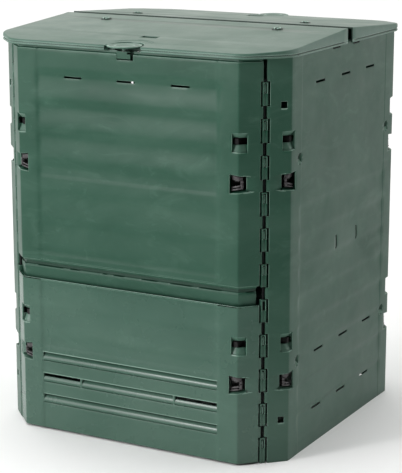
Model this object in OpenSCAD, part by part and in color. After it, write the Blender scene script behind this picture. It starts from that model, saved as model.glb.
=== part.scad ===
// Square two-wing compost bin: four clipped wall panels with chamfered corners, two clip-off
// removal flaps, corner rods and braces, and a pair of ridge-hinged lid wings with turn latches.
// Origin: centre of the footprint on the ground. +Z up, front at -Y. Millimetres.

/* [Walls] */
// Distance between opposite outer wall faces
wall_span = 800; // [700:1:900]
// Leg of the 45 degree corner chamfer
chamfer = 92; // [80:1:110]
// Thickness of the moulded wall panels
wall_t = 4; // [3:0.5:5]
// Height of the top edge of the walls above the ground
wall_top = 998; // [960:1:1010]
// Height of the lower edge of the front and rear flaps
flap_bottom = 5; // [3:1:10]
// Height of the top lip of the flaps
flap_top = 401; // [395:1:405]
// Height at which the upper front panel steps back to its band
band_top = 449; // [440:1:460]
// Height of the lower end of the band, behind the flap
band_bottom = 383; // [375:1:388]
// Depth of the step back of the band
band_step = 10; // [8:1:12]

/* [Air slots] */
// Length of one air slot
slot_len = 50; // [40:1:60]
// Height of one air slot
slot_h = 5; // [4:0.5:7]
// Distance between slots in a row
slot_pitch = 150; // [120:1:180]
// Height of the upper row of slots
slot_top_z = 917; // [900:1:930]
// Height of the middle row of slots in a side wall
slot_mid_z = 241; // [230:1:250]
// Height of the lower row of slots in a side wall
slot_low_z = 93; // [70:1:96]
// Sideways offset of the middle row of slots
slot_mid_shift = 16; // [0:1:30]
// Sideways offset of the lower row of slots
slot_low_shift = 8; // [0:1:30]
// Height of the lower end of the upright slots in a side wall
upright_z = 478; // [440:1:520]
// Length of the upright slots
upright_len = 35; // [25:1:45]

/* [Louvres] */
// Half width of the louvred field of a flap
louvre_half = 253; // [230:1:270]
// Height of one louvre
louvre_h = 23; // [18:1:26]
// Height of the lowest louvre above the ground
louvre_z = 72; // [60:1:85]
// Distance between louvre rows
louvre_pitch = 56; // [50:1:60]
// Depth of the louvre step
louvre_depth = 12; // [8:1:14]
// Half width of the closed part of the middle row of louvres
louvre_closed = 138; // [100:1:200]

/* [Corner hinges] */
// Number of hinge knuckles on a corner
knuckles = 11; // [9:1:11]
// Distance between knuckles
knuckle_pitch = 87.1; // [84:0.1:88]
// Height of one knuckle block
knuckle_h = 55; // [50:1:58]
// Width of one knuckle block
knuckle_w = 17; // [16:0.5:19]
// Height of the lowest knuckle above the ground
knuckle_z = 10; // [8:1:20]
// Diameter of the corner rods
rod_d = 6; // [5:0.5:6]

/* [Corner pockets] */
// Height of the centre of the upper square pocket
pocket_upper_z = 795; // [780:1:810]
// Height of the centre of the lower square pocket
pocket_lower_z = 302; // [295:1:310]
// Drop from a square pocket to the flared pocket below it
pocket_drop = 98; // [90:1:105]
// Height of a pocket
pocket_h = 46; // [40:1:50]

/* [Lid] */
// Overhang of the lid rim past the wall faces
lid_over = 9; // [7:1:12]
// Leg of the lid's corner chamfer
lid_chamfer = 85; // [70:1:100]
// Rounding radius of the lid corners
lid_round = 80; // [40:1:90]
// Height of the lower edge of the lid rim
lid_rim_z = 992; // [990:1:994]
// Height of the lid's edge above its lower rim
lid_rim_h = 13; // [12:1:16]
// Height of the ridge above the ground
ridge_z = 1030; // [1028:1:1036]
// Gap between the two wings along the ridge
ridge_gap = 28; // [24:1:32]
// Thickness of the wings
lid_t = 4; // [3:0.5:4]

/* [Lid hinges] */
// Distance of each hinge axis from the middle of the lid
hinge_y = 28; // [27:1:28]
// Height of the hinge axes
hinge_z = 1013; // [1013:0.5:1014]
// Distance of the hinge arms from the middle of the lid
arm_x = 248; // [220:1:280]
// Width of one hinge arm
arm_w = 30; // [24:1:36]
// Distance of the snap studs from the middle of the lid
stud_y = 80; // [70:1:95]
// Diameter of the snap stud heads
stud_d = 24; // [20:1:28]

/* [Turn latches] */
// Diameter of the latch disc
latch_d = 94; // [80:1:98]
// Distance of the latch axis from the middle of the bin
latch_y = 398; // [396:1:399]
// Height of the top of the latch disc
latch_top = 1006; // [1005:1:1008]
// Width of the latch foot
foot_w = 40; // [34:1:40]

/* [Hidden] */
eps = 0.5;
half = wall_span / 2;
bend = half - chamfer;
r2 = sqrt(2);
mid_u = chamfer * r2 / 2;
rod_n = -8;
flange_u = mid_u - 4.5;
notch_u = mid_u - 11.5;
hook_r = 5.2;
rod_clear = 0.06;
slope = (ridge_z - lid_rim_z - lid_rim_h) / (half + lid_over - ridge_gap / 2);
brace_n = -29;
brace_t = 4;
hinge_rod_d = 8;
eye_r = 9;
stem_d = 12;
disc_t = 6;
pad_t = 4;
pocket_back = 16;
liner_t = 2.5;
keeper_z = 985.5;
foot_top = 991;
foot_bottom = 973;
wall_green = [0.29, 0.44, 0.37];
lid_green = [0.45, 0.58, 0.51];
inner_grey = [0.25, 0.27, 0.26];
rod_steel = [0.6, 0.62, 0.63];
flap_hooks = 4;
window_low = 28;
window_high = 52;
hook_low = 29;
hook_high = 51;
upright_left = -40;
upright_right = 84;
rim_slot_x = 59;
rim_slot_len = 42;
dimple_x = 262;
dimple_low_z = 244;
dimple_high_z = 745;
square_hole_low_z = 108;
square_hole_high_z = 881;
hand_slot_y = 280;
hand_slot_w = 46;
hand_slot_d = 24;
beam_z = 988;
beam_half = 42;
beam_low = 958;
beam_end = half - wall_t - 4;

// A point on the right-hand corner of a wall whose face looks along -Y: u runs along the chamfer
// from the bend, n is the distance outward from the chamfer's outer surface.
function corner(u, n) = [bend + (u + n) / r2, -half + (u - n) / r2];
function flip(p) = [-p[0], p[1]];
// Bend of the wall, d inside its outer surface
function bend_at(d) = [bend - d * (r2 - 1), -half + d];
function arc(cx, cy, r, a0, a1, n) =
    [for (i = [0:n]) [cx + r * cos(a0 + (a1 - a0) * i / n), cy + r * sin(a0 + (a1 - a0) * i / n)]];
// One corner of the lid outline, both vertices of its chamfer rounded
function lid_corner(h, k, r) = let (s = r / cos(22.5)) concat(
    arc(h - s * cos(22.5), h - k - s * sin(22.5), r, 0, 45, 6),
    arc(h - k - s * cos(67.5), h - s * sin(67.5), r, 45, 90, 6));
function turn(p, a) = [p[0] * cos(a) - p[1] * sin(a), p[0] * sin(a) + p[1] * cos(a)];
function lid_outline(h, k, r) = [for (q = [0:3]) for (p = lid_corner(h, k, r)) turn(p, 90 * q)];
// Height of a wing's top surface at a distance from the middle of the lid
function wing_z(y) = ridge_z - slope * (abs(y) - ridge_gap / 2);

// Both ends of a wall
module both_ends() {
    children();
    mirror([1, 0, 0]) children();
}

// Plan of a wall: its face and the two corner flanges
module wall_plan(inset, end_u) {
    outer = [bend_at(inset), corner(end_u, -inset)];
    inner = [corner(end_u, -inset - wall_t), bend_at(inset + wall_t)];
    polygon(concat(outer, inner, [flip(inner[1]), flip(inner[0]), flip(outer[1]), flip(outer[0])]));
}

module wall_band(z0, z1, inset = 0, end_u = flange_u) {
    translate([0, 0, z0]) linear_extrude(z1 - z0) wall_plan(inset, end_u);
}

// Box given in corner coordinates
module corner_box(u0, u1, n0, n1, z0, z1) {
    translate([0, 0, z0]) linear_extrude(z1 - z0)
        polygon([corner(u0, n0), corner(u1, n0), corner(u1, n1), corner(u0, n1)]);
}

module rod_bore(d, z0, z1) {
    p = corner(mid_u, rod_n);
    translate([p[0], p[1], z0]) cylinder(d = d, h = z1 - z0, $fn = 48);
}

// Cut that makes room in a flange for one knuckle block
module knuckle_notch(z) {
    corner_box(notch_u, mid_u, -wall_t - 1, 1, z - 2, z + knuckle_h + 2);
}

// Knuckle block of a side wall: solid below, a window for the neighbour's hook above
module knuckle_block(z) {
    w = knuckle_w / 2;
    difference() {
        union() {
            corner_box(mid_u - w, mid_u + w, -14, 0, z, z + knuckle_h);
            corner_box(notch_u - 6, mid_u - w + eps, -14, -wall_t + eps, z, z + knuckle_h);
        }
        corner_box(mid_u - w + 3, mid_u + w + 1, -15, 1, z + window_low, z + window_high);
        rod_bore(rod_d + 2 * rod_clear, z - 1, z + knuckle_h + 1);
    }
}

// Hook of a front or rear panel: a ring round the rod, or with open = true a fork that the rod
// leaves as the flap is pulled off along -Y
module rod_hook(z, open) {
    p = corner(mid_u, rod_n);
    z0 = z + hook_low;
    z1 = z + hook_high;
    difference() {
        union() {
            rod_bore(2 * hook_r, z0, z1);
            corner_box(notch_u - 5, mid_u - 3, -11, -wall_t + eps, z0, z1);
        }
        rod_bore(rod_d + 2 * rod_clear, z0 - 1, z1 + 1);
        if (open) {
            translate([p[0] - rod_d / 2 - 0.3, p[1], z0 - 1])
                cube([rod_d + 0.6, 12, z1 - z0 + 2]);
        }
    }
}

// Pocket over a bend: its opening, and the liner behind with a hole for the brace hook
module pocket_opening(z, h) {
    translate([0, 0, z - h / 2]) linear_extrude(h)
        polygon([[bend - 18, -half - 1], [bend + 1, -half - 1], corner(23.6, 1),
                 corner(23.6, -1.4), [bend - 18, -half + pocket_back]]);
}

module pocket_liner(z, h, hole_z, hole_h) {
    difference() {
        translate([0, 0, z - h / 2 - liner_t]) linear_extrude(h + 2 * liner_t)
            polygon([[bend - 18 - liner_t, -half + eps], [bend, -half + eps], corner(24.6, -eps),
                     corner(24.6, -wall_t), [bend + 13, -half + pocket_back + liner_t],
                     [bend - 18 - liner_t, -half + pocket_back + liner_t]]);
        pocket_opening(z, h);
        translate([bend - 16.5, -half + pocket_back - 1, hole_z - hole_h / 2])
            cube([24, liner_t + 2, hole_h]);
    }
}

// The openings, or the liners, of the square and the flared pocket of one level
module pocket_openings(z) {
    pocket_opening(z, pocket_h);
    pocket_opening(z - pocket_drop, pocket_h);
}

module pocket_liners(z) {
    pocket_liner(z, pocket_h, z + 3.5, 16);
    pocket_liner(z - pocket_drop, pocket_h, z - pocket_drop, 28);
}

// Row of three air slots in a wall face
module slot_row(z, shift) {
    for (i = [-1:1]) {
        translate([shift + i * slot_pitch - slot_len / 2, -half - 1, z - slot_h / 2])
            cube([slot_len, wall_t + 2, slot_h]);
    }
}

// Upper front panel: face with a stepped-back band below, hooks, pockets, slots and latch keeper
module front_panel() {
    color(wall_green) {
        difference() {
            union() {
                wall_band(band_top, wall_top);
                wall_band(band_bottom, band_top + wall_t, band_step, notch_u - 6);
                translate([0, 0, band_top]) linear_extrude(wall_t) step_plan();
                both_ends() pocket_liners(pocket_upper_z);
            }
            both_ends() for (i = [flap_hooks + 1:knuckles - 1])
                knuckle_notch(knuckle_z + i * knuckle_pitch);
            both_ends() pocket_openings(pocket_upper_z);
            slot_row(slot_top_z, 0);
            latch_cut();
        }
        both_ends() for (i = [flap_hooks + 1:knuckles - 1])
            rod_hook(knuckle_z + i * knuckle_pitch, false);
        latch_keeper();
    }
}

// Shelf between the panel face and the band
module step_plan() {
    outer = [bend_at(0), corner(notch_u - 6, 0)];
    inner = [corner(notch_u - 6, -band_step - wall_t), bend_at(band_step + wall_t)];
    polygon(concat(outer, inner, [flip(inner[1]), flip(inner[0]), flip(outer[1]), flip(outer[0])]));
}

// Cut in the top edge for the latch, with a notch for its foot
module latch_cut() {
    translate([-56, -half - 1, lid_rim_z]) cube([112, wall_t + 2, 20]);
    translate([-foot_w / 2 - 2, -half - 1, foot_bottom - 3]) cube([foot_w + 7, wall_t + 2, 60]);
}

// Bridge inside the wall that the turned latch foot holds on to
module latch_keeper() {
    y0 = -half + wall_t - eps;
    keeper_y = -latch_y + 11;
    translate([-foot_w / 2 - 10, keeper_y, keeper_z]) cube([foot_w + 23, 11, 3]);
    for (x = [-foot_w / 2 - 10, foot_w / 2 + 8]) {
        translate([x, y0, keeper_z - 6]) cube([5, keeper_y + 11 - y0, 9]);
    }
}

// Removal flap with three rows of louvres; the outer parts of the middle row are open for air
module front_flap() {
    color(wall_green) {
        difference() {
            union() {
                wall_band(flap_bottom, flap_top);
                translate([0, 0, flap_top - wall_t]) linear_extrude(wall_t) lip_plan();
                both_ends() pocket_liners(pocket_lower_z);
            }
            both_ends() for (i = [0:flap_hooks]) knuckle_notch(knuckle_z + i * knuckle_pitch);
            both_ends() pocket_openings(pocket_lower_z);
            for (i = [0:2]) louvre_cut(louvre_z + i * louvre_pitch);
        }
        both_ends() for (i = [0:flap_hooks - 1]) rod_hook(knuckle_z + i * knuckle_pitch, true);
        louvre(louvre_z, -louvre_half, louvre_half, false);
        louvre(louvre_z + 2 * louvre_pitch, -louvre_half, louvre_half, false);
        louvre(louvre_z + louvre_pitch, -louvre_half, -louvre_closed, true);
        louvre(louvre_z + louvre_pitch, -louvre_closed, louvre_closed, false);
        louvre(louvre_z + louvre_pitch, louvre_closed, louvre_half, true);
        for (x = [-louvre_closed, louvre_closed]) translate([x - 4, -half, louvre_z + louvre_pitch])
            cube([8, louvre_depth + 2, louvre_h]);
    }
}

// Top lip of the flap, reaching back to the band
module lip_plan() {
    reach = band_step - 1;
    outer = [bend_at(0), corner(notch_u - 2, 0)];
    inner = [corner(notch_u - 2, -reach), bend_at(reach)];
    polygon(concat(outer, inner, [flip(inner[1]), flip(inner[0]), flip(outer[1]), flip(outer[0])]));
}

module louvre_cut(z) {
    translate([-louvre_half, -half - 1, z]) cube([2 * louvre_half, wall_t + 2, louvre_h]);
}

// One louvre: a blade that leans inward towards its top, with a shelf above it unless it is open
module louvre(z, x0, x1, open) {
    blade_t = 3;
    y = -half;
    d = louvre_depth;
    top = open ? louvre_h - 7 : louvre_h;
    lean = d * (top + blade_t) / (louvre_h + blade_t);
    translate([x0, 0, 0]) rotate([90, 0, 90]) linear_extrude(x1 - x0) union() {
        polygon([[y, z - blade_t], [y + wall_t, z - blade_t], [y + lean + blade_t, z + top],
                 [y + lean, z + top], [y, z]]);
        if (!open) {
            polygon([[y + wall_t - eps, z + louvre_h - eps], [y + d + blade_t, z + louvre_h - eps],
                     [y + d + blade_t, z + louvre_h + 2], [y + wall_t - eps, z + louvre_h + 2]]);
        }
    }
    for (x = [x0, x1 - 2]) translate([x, 0, 0]) rotate([90, 0, 90]) linear_extrude(2)
        polygon([[y + wall_t - eps, z - blade_t], [y + d + blade_t, z + louvre_h + 2],
                 [y + wall_t - eps, z + louvre_h + 2]]);
}

// Side wall, drawn with its face along -Y and turned into place
module side_wall() {
    color(wall_green) difference() {
        union() {
            wall_band(0, wall_top);
            both_ends() pocket_liners(pocket_upper_z);
            both_ends() pocket_liners(pocket_lower_z);
        }
        both_ends() for (i = [0:knuckles - 1]) knuckle_notch(knuckle_z + i * knuckle_pitch);
        both_ends() pocket_openings(pocket_upper_z);
        both_ends() pocket_openings(pocket_lower_z);
        both_ends() for (z = [square_hole_low_z, square_hole_high_z])
            corner_box(11, 27, -wall_t - 1, 1, z - 8, z + 8);
        slot_row(slot_top_z, 0);
        slot_row(slot_mid_z, slot_mid_shift);
        slot_row(slot_low_z, slot_low_shift);
        for (x = [upright_left, upright_right])
            translate([x - slot_h / 2, -half - 1, upright_z]) cube([slot_h, wall_t + 2, upright_len]);
        for (x = [-rim_slot_x, rim_slot_x]) translate([x - rim_slot_len / 2, -half - 1, beam_z - 0.5])
            cube([rim_slot_len, wall_t + 2, 5]);
        both_ends() for (z = [dimple_low_z, dimple_high_z]) translate([dimple_x, -half + 2, z]) dimple();
    }
    color(wall_green) both_ends() for (i = [0:knuckles - 1])
        knuckle_block(knuckle_z + i * knuckle_pitch);
}

// Blind oval dimple in a wall face
module dimple() {
    translate([0, 0, -6]) rotate([90, 0, 0]) cylinder(r = 7, h = 5, $fn = 32);
    translate([0, 0, 6]) rotate([90, 0, 0]) cylinder(r = 7, h = 5, $fn = 32);
    translate([-7, -5, -6]) cube([14, 5, 12]);
}

// Corner rod with a head on top, at the front right corner
module corner_rod() {
    top = knuckle_z + (knuckles - 1) * knuckle_pitch + knuckle_h;
    color(rod_steel) {
        rod_bore(rod_d, knuckle_z - 2, top + 3);
        rod_bore(14, top + 2, top + 6);
    }
}

// Corner brace: a plate behind the chamfer whose hooks reach through the pockets of both panels
module corner_brace(z) {
    color(inner_grey) {
        corner_box(-3, 2 * mid_u + 3, brace_n - brace_t, brace_n, z - pocket_drop - 26, z + 26);
        brace_hooks(z);
        mirror([1, 1, 0]) brace_hooks(z);
    }
}

module brace_hooks(z) {
    y = -half + pocket_back - 8;
    translate([bend - 15, y, z - 3]) cube([10, 26, 13]);
    for (dz = [-10, 5]) translate([bend - 15, y + 2, z - pocket_drop + dz]) cube([10, 24, 5]);
}

// Beam under the ridge, with ears for the two hinge rods and hooks into the side walls
module ridge_beam() {
    color(inner_grey) difference() {
        union() {
            translate([-beam_end, -beam_half, beam_z]) cube([2 * beam_end, 2 * beam_half, 4]);
            for (y = [-beam_half, beam_half - 4])
                translate([-beam_end, y, beam_low]) cube([2 * beam_end, 4, beam_z + 1 - beam_low]);
            for (x = [-beam_end, beam_end - 4])
                translate([x, -beam_half - 44, beam_low])
                    cube([4, 2 * beam_half + 88, beam_z + 4 - beam_low]);
            both_ends() for (y = [-rim_slot_x, rim_slot_x])
                translate([beam_end - 1, y - rim_slot_len / 2 + 2, beam_z + 0.2])
                    cube([10, rim_slot_len - 4, 3.6]);
            for (x = ear_positions()) for (sy = [-1, 1]) translate([x - 4, sy * hinge_y, 0]) ear();
        }
        for (sy = [-1, 1]) translate([-300, sy * hinge_y, hinge_z]) rotate([0, 90, 0])
            cylinder(d = hinge_rod_d + 0.1, h = 600, $fn = 48);
    }
}

function ear_positions() = [for (s = [-1, 1]) for (e = [-1, 1]) s * arm_x + e * (arm_w / 2 + 6)];

// One ear, 8 wide along X, rising from the beam round a hinge axis
module ear() {
    translate([0, -eye_r, beam_z + 3]) cube([8, 2 * eye_r, hinge_z - beam_z - 3]);
    translate([0, 0, hinge_z]) rotate([0, 90, 0]) cylinder(r = eye_r, h = 8, $fn = 64);
}

module hinge_rod() {
    color(rod_steel) translate([-arm_x - 40, -hinge_y, hinge_z]) rotate([0, 90, 0])
        cylinder(d = hinge_rod_d, h = 2 * arm_x + 80, $fn = 48);
}

// Side view of a wing's outer or inner surface, extruded along X
module wing_wedge(drop, z0) {
    h = half + lid_over;
    y1 = -ridge_gap / 2;
    pts = drop == 0
        ? [[-h, z0], [-h, wing_z(h)], [y1, ridge_z], [y1, z0]]
        : [[-h, z0], [-h, wing_z(h) - drop], [y1 - 6, wing_z(y1 - 6) - drop],
           [y1 - 6, ridge_z - drop - 2.4], [y1 + 1, ridge_z - drop - 2.4], [y1 + 1, z0]];
    translate([-h - 1, 0, 0]) rotate([90, 0, 90]) linear_extrude(2 * h + 2) polygon(pts);
}

module lid_prism(inset, z0, z1) {
    translate([0, 0, z0]) linear_extrude(z1 - z0)
        polygon(lid_outline(half + lid_over - inset, lid_chamfer - inset * 0.586, lid_round - inset));
}

// Front lid wing: sloping plate with a rim, a round seat for the latch and holes for the studs
module front_wing() {
    floor_z = latch_top - disc_t - 1;
    color(lid_green) {
        difference() {
            union() {
                difference() {
                    intersection() {
                        wing_wedge(0, lid_rim_z);
                        lid_prism(0, lid_rim_z - 1, ridge_z + 1);
                    }
                    intersection() {
                        wing_wedge(lid_t, lid_rim_z - 2);
                        lid_prism(lid_t, lid_rim_z - 2, ridge_z + 1);
                    }
                }
                intersection() {
                    translate([0, -latch_y, floor_z - pad_t])
                        cylinder(r = latch_d / 2 + 8, h = 16, $fn = 96);
                    wing_wedge(0, lid_rim_z);
                    lid_prism(0, lid_rim_z, ridge_z);
                }
                for (x = [-220, 220]) translate([x - 3, -half - 4, wall_top + 0.4])
                    cube([6, 60, 6]);
            }
            translate([0, -latch_y, floor_z]) cylinder(r = latch_d / 2 + 3, h = 30, $fn = 96);
            translate([-48, -half - 20, lid_rim_z - 1]) cube([98, 26, floor_z - pad_t + 1 - lid_rim_z]);
            translate([-latch_d / 2, -half - 20, floor_z]) cube([latch_d, 20, 30]);
            translate([0, -latch_y, 980]) cylinder(d = stem_d + 0.12, h = 40, $fn = 48);
            for (x = [-arm_x, arm_x]) translate([x, -stud_y, 1000])
                cylinder(d = stud_d + 0.12, h = 40, $fn = 48);
            translate([-hand_slot_w / 2, -hand_slot_y - hand_slot_d / 2, 1000])
                cube([hand_slot_w, hand_slot_d, 40]);
        }
    }
}

// Hinge arm under a wing, from its eye on the hinge rod to the snap stud
module hinge_arm() {
    top0 = wing_z(hinge_y - 4) - lid_t - 0.2;
    top1 = wing_z(stud_y + 30) - lid_t - 0.2;
    color(inner_grey) translate([arm_x, 0, 0]) difference() {
        union() {
            translate([-arm_w / 2, 0, 0]) rotate([90, 0, 90]) linear_extrude(arm_w)
                polygon([[-stud_y - 30, top1 - 8], [-hinge_y - 8, hinge_z - 4], [-hinge_y, hinge_z],
                         [-hinge_y + 4, top0], [-stud_y - 30, top1]]);
            translate([-arm_w / 2, -hinge_y, hinge_z]) rotate([0, 90, 0])
                cylinder(r = eye_r, h = arm_w, $fn = 64);
        }
        translate([-arm_w / 2 - 1, -hinge_y, hinge_z]) rotate([0, 90, 0])
            cylinder(d = hinge_rod_d + 0.15, h = arm_w + 2, $fn = 48);
        translate([0, -stud_y, 990]) cylinder(d = 14.12, h = 60, $fn = 48);
    }
}

// Split snap stud: a shank through the arm and two half-round heads above the wing
module snap_stud() {
    base = wing_z(stud_y) - lid_t;
    color(lid_green) translate([arm_x, -stud_y, 0]) difference() {
        union() {
            translate([0, 0, base - 14]) cylinder(d = 14, h = 16, $fn = 48);
            translate([0, 0, base - 17]) cylinder(d = 17, h = 5, $fn = 48);
            translate([0, 0, base + 0.5]) cylinder(d = stud_d, h = 8, $fn = 48);
            translate([0, 0, base + 8.5]) cylinder(d1 = stud_d, d2 = stud_d - 8, h = 3, $fn = 48);
        }
        translate([-1.5, -stud_d, base + 3]) cube([3, 2 * stud_d, 12]);
    }
}

// Turn latch: disc, stem, and a foot with a slit that takes the keeper when it is turned inward
module latch() {
    color(lid_green) translate([0, -latch_y, 0]) difference() {
        union() {
            translate([0, 0, latch_top - disc_t]) cylinder(d = latch_d, h = disc_t - 1.5, $fn = 128);
            translate([0, 0, latch_top - 1.5])
                cylinder(d1 = latch_d, d2 = latch_d - 3, h = 1.5, $fn = 128);
            translate([0, 0, foot_top - 1])
                cylinder(d = stem_d, h = latch_top - disc_t - foot_top + 2, $fn = 48);
            translate([-foot_w / 2, -3, foot_bottom]) cube([foot_w, 6, foot_top - foot_bottom]);
        }
        translate([9, -4, keeper_z - 1]) cube([foot_w, 8, 5]);
        translate([0, 0, latch_top - 1]) cylinder(d = latch_d * 0.45, h = 2, $fn = 64);
    }
}

// Snap ring on the latch stem, under the wing's pad
module latch_clip() {
    color(rod_steel) translate([0, -latch_y, foot_top + 0.4]) difference() {
        cylinder(d = 24, h = 3, $fn = 48);
        translate([0, 0, -1]) cylinder(d = stem_d, h = 5, $fn = 48);
    }
}

front_panel();
rotate([0, 0, 180]) front_panel();  // rear_panel
rotate([0, 0, -90]) side_wall();  // left_wall
rotate([0, 0, 90]) side_wall();  // right_wall
front_flap();
rotate([0, 0, 180]) front_flap();  // rear_flap
corner_rod();  // rod_front_right
rotate([0, 0, 90]) corner_rod();  // rod_rear_right
rotate([0, 0, 180]) corner_rod();  // rod_rear_left
rotate([0, 0, 270]) corner_rod();  // rod_front_left
corner_brace(pocket_upper_z);  // upper_brace_front_right
rotate([0, 0, 90]) corner_brace(pocket_upper_z);  // upper_brace_rear_right
rotate([0, 0, 180]) corner_brace(pocket_upper_z);  // upper_brace_rear_left
rotate([0, 0, 270]) corner_brace(pocket_upper_z);  // upper_brace_front_left
corner_brace(pocket_lower_z);  // lower_brace_front_right
rotate([0, 0, 90]) corner_brace(pocket_lower_z);  // lower_brace_rear_right
rotate([0, 0, 180]) corner_brace(pocket_lower_z);  // lower_brace_rear_left
rotate([0, 0, 270]) corner_brace(pocket_lower_z);  // lower_brace_front_left
ridge_beam();
hinge_rod();  // front_hinge_rod
rotate([0, 0, 180]) hinge_rod();  // rear_hinge_rod
front_wing();
rotate([0, 0, 180]) front_wing();  // rear_wing
hinge_arm();  // front_right_hinge_arm
mirror([1, 0, 0]) hinge_arm();  // front_left_hinge_arm
mirror([0, 1, 0]) hinge_arm();  // rear_right_hinge_arm
rotate([0, 0, 180]) hinge_arm();  // rear_left_hinge_arm
snap_stud();  // front_right_stud
mirror([1, 0, 0]) snap_stud();  // front_left_stud
mirror([0, 1, 0]) snap_stud();  // rear_right_stud
rotate([0, 0, 180]) snap_stud();  // rear_left_stud
latch();  // front_latch
rotate([0, 0, 180]) latch();  // rear_latch
latch_clip();  // front_latch_clip
rotate([0, 0, 180]) latch_clip();  // rear_latch_clip
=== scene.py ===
# Looks of the square two-wing compost bin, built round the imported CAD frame.
# Lengths in the helpers are millimetres in the row frame (front at -Y, ground at z = 0); the
# meshes are written in metres.
import math
import bpy
import bmesh
from mathutils import Matrix, Vector


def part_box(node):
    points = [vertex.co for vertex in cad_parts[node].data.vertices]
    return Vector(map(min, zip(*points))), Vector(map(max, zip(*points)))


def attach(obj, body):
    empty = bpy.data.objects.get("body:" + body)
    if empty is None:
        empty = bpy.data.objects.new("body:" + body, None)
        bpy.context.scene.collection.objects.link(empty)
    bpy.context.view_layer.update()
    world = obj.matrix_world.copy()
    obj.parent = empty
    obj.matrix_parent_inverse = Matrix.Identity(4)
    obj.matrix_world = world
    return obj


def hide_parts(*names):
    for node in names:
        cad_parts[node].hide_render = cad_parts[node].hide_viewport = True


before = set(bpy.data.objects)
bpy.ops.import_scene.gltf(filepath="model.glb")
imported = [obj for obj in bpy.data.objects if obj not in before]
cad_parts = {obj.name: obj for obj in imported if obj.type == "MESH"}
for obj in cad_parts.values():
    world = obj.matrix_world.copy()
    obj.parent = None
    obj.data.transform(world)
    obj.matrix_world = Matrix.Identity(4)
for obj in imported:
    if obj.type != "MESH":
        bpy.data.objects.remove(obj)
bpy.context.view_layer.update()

MM = 0.001
ROOT_2 = math.sqrt(2)
TAN_22_5 = math.tan(math.radians(22.5))
SHARP = math.radians(42)


def edge(node, end, axis):
    """One side of a CAD node's box, in millimetres; end 0 is its low side and 1 its high side."""
    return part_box(node)[end][axis] / MM


# ---- sizes taken from the CAD frame, and the few that the boxes don't give -------------------
HALF = -edge("front_flap", 0, 1)
WALL_TOP = edge("right_wall", 1, 2)
FLAP_LOW = edge("front_flap", 0, 2)
FLAP_TOP = edge("front_flap", 1, 2)
BAND_LOW = edge("front_panel", 0, 2)
RIM_Z = edge("front_wing", 0, 2)
RIDGE_Z = edge("front_wing", 1, 2)
LID_OVERHANG = 9.0
LID_HALF = -edge("left_wall", 0, 0) + LID_OVERHANG
RIDGE_Y = -edge("front_wing", 1, 1)
DISC_TOP = edge("front_latch", 1, 2)
DISC_R = edge("front_latch", 1, 0)
DISC_GAP = 4.5
FOOT_LOW = edge("front_latch", 0, 2)
LATCH_Y = -(edge("front_latch", 0, 1) + DISC_R)
STUD_X = (edge("front_right_stud", 0, 0) + edge("front_right_stud", 1, 0)) / 2
STUD_Y = -(edge("front_right_stud", 0, 1) + edge("front_right_stud", 1, 1)) / 2
STUD_R = (edge("front_right_stud", 1, 0) - edge("front_right_stud", 0, 0)) / 2
STUD_HOLE = STUD_R - 0.4
BAND_TOP = 449.0
BAND_STEP = 10.0
CHAMFER = 92.0
WALL_T = 4.0
BEND_R = 8.0
BEND = HALF - CHAMFER
MID_U = CHAMFER * ROOT_2 / 2
NOTCH_U = MID_U - 11.5
FLANGE_U = MID_U - 4.5
FIELD = 253.0
FIELD_STEP = 0.5
KNUCKLES = 11
KNUCKLE_PITCH = 87.1
KNUCKLE_H = 55.0
KNUCKLE_W = 14.0
KNUCKLE_Z = 10.0
NOTCH_GAP = 2.0
POCKET_HIGH = 795.0
POCKET_LOW = 302.0
POCKET_DROP = 98.0
WAVE_PITCH = 75.0
WAVE_Z = 937.0
WAVE_SOFT_Z = 670.0
WAVE_STEEP = 0.24
LOUVRE_H = 23.0
LOUVRE_Z = 72.0
LOUVRE_PITCH = 56.0
LOUVRE_D = 12.0
LOUVRE_CREST = 0.24
LOUVRE_GAP = 7.5
LOUVRE_CLOSED = 138.0
SLOT_L = 50.0
SLOT_H = 5.0
SLOT_PITCH = 150.0
SLOT_RIM_T = 2.0
SLOT_ROWS = ((917.0, 0.0), (241.0, 16.0), (93.0, 8.0))  # height, shift; a panel has the first only
UPRIGHT_SLOTS = (-40.0, 84.0)
UPRIGHT_LOW, UPRIGHT_TOP = 478.0, 513.0
BEAM_SLOTS = (-59.0, 59.0)
BEAM_SLOT_HALF = 21.0
BEAM_SLOT_LOW, BEAM_SLOT_TOP = 985.5, 992.5
SQUARE_HOLES = (108.0, 881.0)
SQUARE_HOLE_HALF = 8.0
DIMPLE_S = 262.0
DIMPLE_ZS = (244.0, 745.0)
LATCH_NOTCH = 50.0
BRIDGE_LOW, BRIDGE_TOP = 985.5, 988.5
SEAT_R = 47.0
STEM_R = 6.0
PAD_R = 76.0
PAD_LOW, PAD_TOP = 992.4, 999.0
ABOVE = 1040.0  # clear above the lid, where its cutters end
LID_CHAMFER = 85.0
LID_ROUND = 80.0
LID_RIM_H = 13.0
LID_T = 4.0
SLOPE = (RIDGE_Z - RIM_Z - LID_RIM_H) / (LID_HALF - RIDGE_Y)


def smooth(x):
    x = min(1.0, max(0.0, x))
    return x * x * (3 - 2 * x)


def block_z(i):
    return KNUCKLE_Z + i * KNUCKLE_PITCH


def corner(u, n):
    """Plan point on the right-hand corner of a wall that faces -Y: u along the chamfer, n outward."""
    return (BEND + (u + n) / ROOT_2, -HALF + (u - n) / ROOT_2)


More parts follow.
